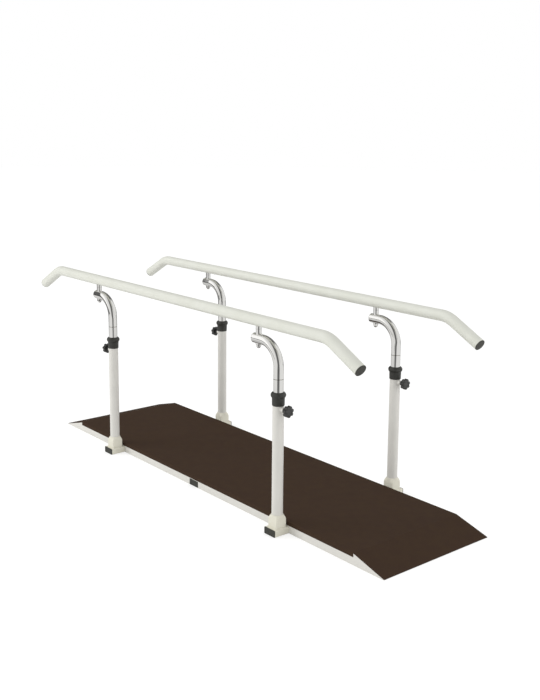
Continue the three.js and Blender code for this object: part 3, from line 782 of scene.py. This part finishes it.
def finish_collar(name, axis, finish):
    """A fat round bead over a slightly tapered body, bored for the arm above and for the post below."""
    low, high, _ = measured(name)
    bead = COLLAR_BEAD_HEIGHT / 2
    core = (high[0] - low[0]) / 2 - bead
    bore = post_radius + SEAT_GAP
    neck = arm_radius + ARM_CLEARANCE
    bead_middle = high[2] - bead
    start = -math.acos((COLLAR_BODY_RADIUS - core) / bead)
    end = math.acos((neck + COLLAR_MOUTH - core) / bead)
    sweep = np.linspace(start, end, BEND_STEPS // 2)
    bead_line = np.stack([core + bead * np.cos(sweep), bead_middle + bead * np.sin(sweep)], 1)
    foot = filleted([(bore, low[2]), (COLLAR_FOOT_RADIUS, low[2]), tuple(bead_line[0])], COLLAR_EDGE)
    step = high[2] - COLLAR_LIP
    rim_radius, rim = bead_line[-1]
    mouth = filleted([(rim_radius, rim), (neck, rim - COLLAR_MOUTH / 3), (neck, step), (bore, step),
                      (bore, low[2] + EDGE)], EDGE / 2)
    shell = turned(np.vstack([foot[:-1], bead_line, mouth[1:]]))
    upright = Matrix.Translation((axis[0], axis[1], 0))
    return finished(name, [placed(shell, upright)], finish)


def finish_knob(name, outward, axis, finish):
    """Rings about the stud's axis: each has a radius, a depth of its hollows and a height. Its radius
    falls by that depth times a power of half of one less the cosine of the angle times the number of
    lobes."""
    low, high, middle = measured(name)
    face = abs((high[0] if outward > 0 else low[0]) - axis[0])
    stud_end = abs((low[0] if outward > 0 else high[0]) - axis[0])
    reach = (high - low)[1:].max() / 2
    back = face - KNOB_THICKNESS
    hub = back - KNOB_HUB_LENGTH
    quarter = np.linspace(0, np.pi / 2, FILLET_STEPS + 2)
    less_sine = 1 - np.sin(quarter)
    less_cosine = 1 - np.cos(quarter)
    full = np.full(len(quarter), KNOB_LOBE_DEPTH)
    rear = np.stack([reach - KNOB_EDGE / 2 * less_sine, full, back + KNOB_EDGE / 2 * less_cosine], 1)
    front = np.stack([reach - KNOB_EDGE * less_cosine, full, face - KNOB_CROWN - KNOB_EDGE * less_sine], 1)
    share = np.linspace(0, 1, KNOB_CROWN_STEPS)[1:]
    shoulder = reach - KNOB_EDGE
    crown = np.stack([shoulder + (KNOB_HUB_RADIUS - shoulder) * share, KNOB_LOBE_DEPTH * (1 - share),
                      face - KNOB_CROWN * (1 - share) ** 2], 1)
    dish = face - KNOB_DISH_DEPTH
    dish_radius = KNOB_HUB_RADIUS - KNOB_DISH_DEPTH
    stem = [(STUD_RADIUS - EDGE, 0, stud_end), (STUD_RADIUS, 0, stud_end + EDGE), (STUD_RADIUS, 0, hub),
            (KNOB_HUB_RADIUS - EDGE, 0, hub), (KNOB_HUB_RADIUS, 0, hub + EDGE), (KNOB_HUB_RADIUS, 0, back)]
    rows = np.vstack([stem, rear, front, crown, [(dish_radius, 0, dish), (dish_radius / 2, 0, dish)]])
    turn = angles(KNOB_LOBES * KNOB_LOBE_SIDES)
    hollow = ((1 - np.cos(KNOB_LOBES * turn)) / 2) ** KNOB_LOBE_POWER
    radius = rows[:, :1] - rows[:, 1:2] * hollow
    shell = skin(ringed(radius, rows[:, 2:], turn))
    sideways = turn_about("Z", 0 if outward > 0 else 180, (axis[0], axis[1], middle[2]))
    return finished(name, [placed(shell, sideways @ turn_about("Y", 90))], finish)


def saddle(radius, tube_radius, level, side):
    """The curve on which an upright circle meets a tube along X whose axis is at a level: above it for
    the side 1, or below it for -1."""
    turn = angles(SMALL_SIDES)
    x = radius * np.cos(turn)
    y = radius * np.sin(turn)
    return np.stack([x, y, level + side * np.sqrt(tube_radius ** 2 - y ** 2)], 1)


def finish_arm(name, axis, finish):
    """A tube carried along its bent path: up the bore, round the foot, and up the outside over the height
    marks to a rounded tip. An upright sleeve passes through it, with a bead of weld above and below."""
    low, high, _ = measured(name)
    level = arm_height
    leg = level - ARM_BEND_RADIUS - low[2]
    bend = ARM_BEND_RADIUS * math.pi / 2
    reach = axis[0] - low[0]
    run = reach - ARM_BEND_RADIUS
    runs = [(leg, 0), (bend, math.pi / 2), (run, 0)]
    total = leg + bend + run
    bore = arm_radius - ARM_WALL
    first_mark = level - MARK_DROP - low[2]
    marks = first_mark - MARK_PITCH * np.arange(MARK_COUNT)[::-1]
    mark_at = (marks[:, None] + MARK_WIDTH * np.array(MARK_WIDTH_SHARES)).ravel()
    floor = arm_radius - MARK_DEPTH
    mark_radius = np.tile([arm_radius, floor, floor, arm_radius], MARK_COUNT)
    bend_at = leg + bend * np.linspace(0, 1, BEND_STEPS)
    quarter = np.linspace(0, np.pi / 2, FILLET_STEPS)
    tip_at = total - ARM_TIP_EDGE * (1 - np.sin(quarter))
    tip_radius = arm_radius - ARM_TIP_EDGE * (1 - np.cos(quarter))
    inside_at = np.concatenate([[total - ARM_END_DISC], bend_at[::-1], [EDGE]])
    outside_at = np.concatenate([[0, EDGE], mark_at, bend_at, tip_at])
    at = np.concatenate([inside_at, outside_at])
    radius = np.concatenate([np.full(len(inside_at), bore), [arm_radius - EDGE, arm_radius], mark_radius,
                             np.full(BEND_STEPS, arm_radius), tip_radius])
    place, direction = bent_path(at, (axis[0], axis[1], low[2]), math.pi / 2, runs)
    tube = skin(rings_along(place, direction, radius))
    pivot = axis[0] - (reach - ARM_TIP)
    sleeve_foot = level - arm_radius - SLEEVE_FOOT
    wall = [(SLEEVE_BORE, sleeve_foot), (SLEEVE_RADIUS, sleeve_foot), (SLEEVE_RADIUS, high[2]),
            (SLEEVE_BORE, high[2])]
    sleeve = turned(filleted(wall, EDGE, closed=True, steps=EDGE_STEPS), SMALL_SIDES)
    seams = [saddle(SLEEVE_RADIUS, arm_radius, level, side) for side in (1, -1)]
    welds = [bead_along(seam, SLEEVE_WELD, WELD_RIPPLE, SLEEVE_WELD_RIPPLES) for seam in seams]
    move = Matrix.Translation((pivot, axis[1], 0))
    return finished(name, [tube, *(placed(shell, move) for shell in (sleeve, *welds))], finish)


def finish_pin(name, finish):
    """A shaft with a shoulder whose top follows the underside of the rail."""
    low, _, middle = measured(name)
    turn = angles(SMALL_SIDES)
    ring = np.stack([np.cos(turn), np.sin(turn), np.zeros(SMALL_SIDES)], 1)
    steps = [(PIN_RADIUS - EDGE, low[2]), (PIN_RADIUS, low[2] + EDGE), (PIN_RADIUS, pin_seat),
             (SLEEVE_RADIUS - EDGE, pin_seat), (SLEEVE_RADIUS, pin_seat + EDGE)]
    rows = [ring * radius + height * Z_AXIS for radius, height in steps]
    rows.append(saddle(SLEEVE_RADIUS, rail_radius + SEAT_GAP, rail_height, -1))
    upright = Matrix.Translation((middle[0], middle[1], 0))
    return finished(name, [placed(skin(np.array(rows)), upright)], finish)


def finish_nut(name, finish):
    """Rings whose radius is the lesser of a hexagon's and a circle's: full flats, chamfered corners, and
    a dome."""
    _, high, middle = measured(name)
    turn = angles(SMALL_SIDES)
    corner = np.abs((turn + np.pi / 6) % (np.pi / 3) - np.pi / 6)
    hexagon = NUT_APOTHEM / np.cos(np.pi / 6 - corner)
    circle = NUT_APOTHEM * np.array(NUT_CHAMFER_SHARES)
    under = high[2] - NUT_HEIGHT
    levels = under + NUT_HEIGHT * np.array(NUT_LEVEL_SHARES)
    nut = np.minimum(hexagon[None], circle[:, None])
    dome_turn = np.linspace(*NUT_DOME_SPAN, BEND_STEPS // 3) * np.pi / 2
    dome = np.tile((NUT_APOTHEM * NUT_DOME_SHARE * np.sin(dome_turn))[:, None], SMALL_SIDES)
    heights = np.concatenate([under - NUT_DOME_HEIGHT * np.cos(dome_turn), levels])[:, None]
    shell = skin(ringed(np.vstack([dome, nut]), heights, turn))
    upright = Matrix.Translation((middle[0], middle[1], 0))
    return finished(name, [placed(shell, upright)], finish)


# Handrails

def finish_handrail(side, finish):
    """A tube carried along its bent path, outside from left to right and back inside."""
    name = f"{side}_handrail"
    low, _, middle = measured(name)
    tangent = RAIL_BEND_RADIUS * math.tan(RAIL_END_ANGLE / 2)
    start_x = low[0] + rail_radius * math.sin(RAIL_END_ANGLE)
    start_z = rail_height - RAIL_END_LENGTH * math.sin(RAIL_END_ANGLE)
    straight = 2 * (middle[0] - start_x - RAIL_END_LENGTH * math.cos(RAIL_END_ANGLE))
    end_run = RAIL_END_LENGTH - tangent
    bend = RAIL_BEND_RADIUS * RAIL_END_ANGLE
    down = (bend, -RAIL_END_ANGLE)
    runs = [(end_run, 0), down, (straight - 2 * tangent, 0), down, (end_run, 0)]
    total = sum(length for length, _ in runs)
    bend_share = np.linspace(0, 1, BEND_STEPS)
    bends = np.concatenate([end_run + bend * bend_share, total - end_run - bend * bend_share[::-1]])
    outside = np.concatenate([[0, EDGE], bends, [total - EDGE, total]])
    inside = np.concatenate([[total], bends[::-1], [0]])
    rim = [rail_radius - EDGE]
    radius = np.concatenate([rim, np.full(len(outside) - 2, rail_radius), rim,
                             np.full(len(inside), rail_radius - RAIL_WALL)])
    start = (start_x, middle[1], start_z)
    place, direction = bent_path(np.concatenate([outside, inside]), start, RAIL_END_ANGLE, runs)
    shell = skin(rings_along(place, direction, radius), wrap=True)
    finished(name, [shell], finish)
    return start, (2 * middle[0] - start_x, middle[1], start_z)


def finish_rail_plug(name, seat, facing, finish):
    """A slightly domed head with a rounded rim on a plain spigot, turned about the tube's end."""
    spigot = rail_radius - RAIL_WALL - SEAT_GAP
    face = SEAT_GAP + RAIL_PLUG_HEAD
    line = [(0, -RAIL_PLUG_SPIGOT), (spigot - EDGE, -RAIL_PLUG_SPIGOT), (spigot, EDGE - RAIL_PLUG_SPIGOT),
            (spigot, SEAT_GAP), (rail_radius, SEAT_GAP), (rail_radius, face - RAIL_PLUG_CROWN),
            (spigot, face - RAIL_PLUG_CROWN / 2), (0, face)]
    shell = turned(filleted(line, [0, 0, 0, 0, EDGE, RAIL_PLUG_EDGE, RAIL_PLUG_EDGE, 0]))
    lean = facing * (math.pi / 2 + RAIL_END_ANGLE)
    place = Matrix.Translation(seat) @ Matrix.Rotation(lean, 4, "Y")
    return finished(name, [placed(shell, place)], finish)


# Lights, floor and camera

def make_camera():
    """The lens axis meets the picture off its middle, so the lens is shifted."""
    data = bpy.data.cameras.new("camera")
    camera = added("camera", data)
    data.sensor_width = SENSOR_WIDTH
    data.lens = FOCAL_PIXELS * SENSOR_WIDTH / FRAME_HEIGHT
    data.shift_x = (FRAME_WIDTH / 2 - AXIS_PIXEL[0]) / FRAME_HEIGHT
    data.shift_y = (AXIS_PIXEL[1] - FRAME_HEIGHT / 2) / FRAME_HEIGHT
    camera.matrix_world = (
        Matrix.Translation(CAMERA_PLACE)
        @ Matrix.Rotation(CAMERA_YAW, 4, "Z")
        @ Matrix.Rotation(math.pi / 2 + CAMERA_PITCH, 4, "X")
        @ Matrix.Rotation(CAMERA_ROLL, 4, "Z")
    )
    bpy.context.scene.camera = camera


def make_floor():
    """A floor of white paper. The camera sees half paper, which keeps the part's soft shadow, and half a
    white glow. Mirrors see the glow, more of it farther off, with painted shade and painted dark
    reflections in it:
    greyer near the part, dark in a wedge from under the camera and at the far left, and dimmer behind the
    part."""
    turn = angles(TUBE_SIDES)
    rim = np.stack([np.cos(turn), np.sin(turn), np.zeros(TUBE_SIDES)], 1) * FLOOR_RADIUS
    mesh = bpy.data.meshes.new("floor")
    mesh.from_pydata(rim - FLOOR_DROP * Z_AXIS, [], [list(range(TUBE_SIDES))])
    floor = added("floor", mesh)
    material = bpy.data.materials.new("white_studio_floor")
    tree = cleared(material)
    soft = {"interpolation_type": "SMOOTHSTEP"}
    place = node(tree, "TexCoord").outputs["Object"]
    ray = node(tree, "LightPath").outputs
    # How much of the floor glows
    distance = node(tree, "VectorMath", (place,), operation="LENGTH").outputs["Value"]
    far = node(tree, "MapRange", (distance, *GLOW_SPAN, FLOOR_GLOW, 1.0), **soft)
    mirrors = node(tree, "Math", (ray["Is Glossy Ray"], ray["Is Transmission Ray"]), operation="MAXIMUM")
    glowing = node(tree, "Math", (far, mirrors), operation="MULTIPLY")
    share = node(tree, "Mix", {0: ray["Is Camera Ray"], 2: glowing, 3: FLOOR_SHOWN}, data_type="FLOAT")
    # The painted dark wedge that mirrors see from under the camera: how far aside a place is for its
    # distance towards the camera
    aside = node(tree, "VectorMath", (place, ACROSS), operation="DOT_PRODUCT").outputs["Value"]
    ahead = node(tree, "VectorMath", (place, FORWARD), operation="DOT_PRODUCT").outputs["Value"]
    offset = node(tree, "Math", (aside,), operation="ABSOLUTE")
    back = node(tree, "Math", (ahead, -1.0), operation="MULTIPLY")
    reach = node(tree, "Math", (back, STRIP_LEAST_REACH), operation="MAXIMUM")
    bearing = node(tree, "Math", (offset, reach), operation="DIVIDE")
    painted_dark_wedge = node(tree, "MapRange", (bearing, *GAP_SPAN, GAP_SHADE, 1.0), **soft)
    begun = node(tree, "MapRange", (back, *STRIP_SPAN), **soft)
    strip = node(tree, "Mix", {0: begun, 2: 1.0, 3: painted_dark_wedge}, data_type="FLOAT")
    # The painted shade that mirrors see: the greyer floor near the part, the dark end and the dimmer back
    lengthwise = node(tree, "SeparateXYZ", (place,)).outputs["X"]
    near = node(tree, "MapRange", (distance, *SHADE_SPAN, FLOOR_SHADE, MIRROR_LEVEL))
    end = node(tree, "MapRange", (lengthwise, *END_FLOOR_SPAN, 1.0, END_SHADE), **soft)
    rear = node(tree, "MapRange", (ahead, *BACK_SPAN, 1.0, BACK_SHADE), **soft)
    under = node(tree, "Math", (near, strip), operation="MULTIPLY")
    beyond = node(tree, "Math", (end, rear), operation="MULTIPLY")
    mirrored = node(tree, "Math", (under, beyond), operation="MULTIPLY")
    # Glossy rays see the glow at this painted level; camera rays see it white
    level = node(tree, "Mix", {0: ray["Is Glossy Ray"], 2: FLOOR_WHITE, 3: mirrored}, data_type="FLOAT")
    paper = node(tree, "BsdfDiffuse", {"Color": linear("#F7F7F6")})
    glow = node(tree, "Emission", {"Color": WHITE, "Strength": level})
    node(tree, "OutputMaterial", {"Surface": node(tree, "MixShader", (share, paper, glow))})
    mesh.materials.append(material)
    material.cycles.emission_sampling = "NONE"


def make_world():
    """White all round for the camera, and a soft sky for the paints. Mirrors alone see painted reflections,
    which light nothing: the dark gap between two painted banks of light lies over the camera's axis, is
    wider behind the part, and ends above the backdrop; a bright painted bank lies at the left, with a dark
    end beyond it."""
    world = bpy.data.worlds.new("studio")
    bpy.context.scene.world = world
    tree = cleared(world)
    soft = {"interpolation_type": "SMOOTHSTEP"}
    way = node(tree, "TexCoord").outputs["Generated"]
    way_part = node(tree, "SeparateXYZ", (way,)).outputs
    # The painted dark gap, seen only in reflections
    aside = node(tree, "VectorMath", (way, ACROSS), operation="DOT_PRODUCT").outputs["Value"]
    ahead = node(tree, "VectorMath", (way, FORWARD), operation="DOT_PRODUCT").outputs["Value"]
    offset = node(tree, "Math", (aside,), operation="ABSOLUTE")
    behind = node(tree, "Math", (ahead, 0.0), operation="MAXIMUM")
    lean = node(tree, "Math", (behind, -GAP_WIDENING, offset), operation="MULTIPLY_ADD")
    painted_gap = node(tree, "MapRange", (lean, *GAP_SPAN, GAP_SHADE * MIRROR_LEVEL, MIRROR_LEVEL), **soft)
    above = node(tree, "Math", (ahead, -BACKDROP_SLOPE, way_part["Z"]), operation="MULTIPLY_ADD")
    over = node(tree, "MapRange", (above, -BACKDROP_EDGE, BACKDROP_EDGE), **soft)
    dim = node(tree, "Mix", {0: over, 2: MIRROR_LEVEL, 3: painted_gap}, data_type="FLOAT")
    # The painted bright bank and the painted dark end, seen only in reflections
    near_bank = node(tree, "VectorMath", (way, BANK_HEADING), operation="DOT_PRODUCT").outputs["Value"]
    painted_bank = node(tree, "MapRange", (near_bank, *BANK_SPAN), **soft)
    shade = node(tree, "Mix", {0: painted_bank, 2: dim, 3: BANK_LEVEL}, data_type="FLOAT")
    end = node(tree, "MapRange", (way_part["X"], *END_SPAN, 1.0, END_SHADE), **soft)
    painted_reflections = node(tree, "Math", (shade, end), operation="MULTIPLY")
    # What each kind of ray sees: glossy rays see the painted reflections
    ray = node(tree, "LightPath").outputs
    shown = node(tree, "Background", {"Color": WHITE, "Strength": SKY_LEVEL})
    for kind, strength in (("Is Glossy Ray", painted_reflections), ("Is Transmission Ray", 1.0), ("Is Camera Ray", 1.0)):
        light = node(tree, "Background", {"Color": WHITE, "Strength": strength})
        shown = node(tree, "MixShader", (ray[kind], shown, light))
    node(tree, "OutputWorld", {"Surface": shown})


def make_soft_box(name, place, size, power):
    """A square soft box that faces the part, out of sight of the camera and of mirrors."""
    data = bpy.data.lights.new(name, "AREA")
    data.shape = "SQUARE"
    data.size = size
    data.energy = power
    light = added(name, data)
    light.location = place
    light.rotation_euler = (Vector(place) - Vector(LIGHT_AIM)).to_track_quat("Z", "Y").to_euler()
    light.visible_camera = False
    light.visible_glossy = False


# The whole part

make_camera()
make_world()
make_floor()
make_soft_box("key", KEY_PLACE, KEY_SIZE, KEY_POWER)
make_soft_box("fill", FILL_PLACE, FILL_SIZE, FILL_POWER)
bpy.context.scene.view_settings.view_transform = "Standard"

white_enamel = powder_coat("white_powder_coat", ("#DAD8D2", "#DDDBD5"), 0.36)
cream_enamel = powder_coat("cream_powder_coat", ("#DFDCCD", "#E3E0D1"), 0.42)
rail_enamel = powder_coat("pale_grey_powder_coat", ("#DBDCD2", "#DEDFD6"), 0.40)
rubber = rubber_sheet()
grey_plastic = moulded_plastic("moulded_grey_plastic", ("#383833", "#3E3E38"), 0.5, shine=0.35)
black_plastic = moulded_plastic("moulded_black_plastic", ("#2F2F2B", "#343430"), 0.42)
knob_plastic = moulded_plastic("glossy_black_plastic", ("#1A1A18", "#1F1F1C"), 0.40, shine=1.0)
moulded_nylon = moulded_plastic("moulded_nylon", ("#D3D1C6", "#DAD8CE"), 0.45)
brass = turned_brass()
plywood = birch_plywood()
chrome = chrome_plate("chrome_plate")

rail_low, rail_high, _ = measured("near_handrail")
rail_radius = (rail_high[1] - rail_low[1]) / 2
rail_height = rail_high[2] - rail_radius
pin_seat = rail_height - rail_radius - PIN_SHOULDER
bush_low, bush_high, _ = measured("near_left_guide_bush")
arm_radius = (bush_high[1] - bush_low[1]) / 2
arm_height = rail_height - rail_radius - RAIL_STANDOFF - arm_radius
marked_chrome = chrome_plate("chrome_plate_with_height_marks", arm_height - MARK_DROP)
post_low, post_high, _ = measured("near_left_post")
post_radius = (post_high[1] - post_low[1]) / 2

for side, facing in (("near", -1), ("far", 1)):
    finish_side_plate(side, facing, white_enamel)
    for place in TUBE_PLACES:
        finish_cross_tube_plug(place, side, facing, grey_plastic)
    left_seat, right_seat = finish_handrail(side, rail_enamel)
    finish_rail_plug(f"{side}_handrail_left_plug", left_seat, -1, grey_plastic)
    finish_rail_plug(f"{side}_handrail_right_plug", right_seat, 1, grey_plastic)
    for end, outward in (("left", -1), ("right", 1)):
        corner = f"{side}_{end}"
        axis = measured(f"{corner}_collar")[2]
        finish_socket(f"{corner}_post_socket", cream_enamel)
        finish_post(f"{corner}_post", outward, axis, white_enamel)
        finish_collar(f"{corner}_collar", axis, black_plastic)
        finish_knob(f"{corner}_clamp_knob", outward, axis, knob_plastic)
        finish_arm(f"{corner}_arm", axis, marked_chrome)
        finish_pin(f"{corner}_pivot_pin", chrome)
        finish_nut(f"{corner}_pivot_nut", chrome)
        kept(f"{corner}_guide_bush", moulded_nylon)
        kept(f"{corner}_clamp_pad", brass)
for place in TUBE_PLACES:
    finish_cross_tube(place, cream_enamel)
finish_covering(rubber)
kept("deck_board", plywood)
kept("left_ramp_plate", white_enamel)
kept("right_ramp_plate", white_enamel)
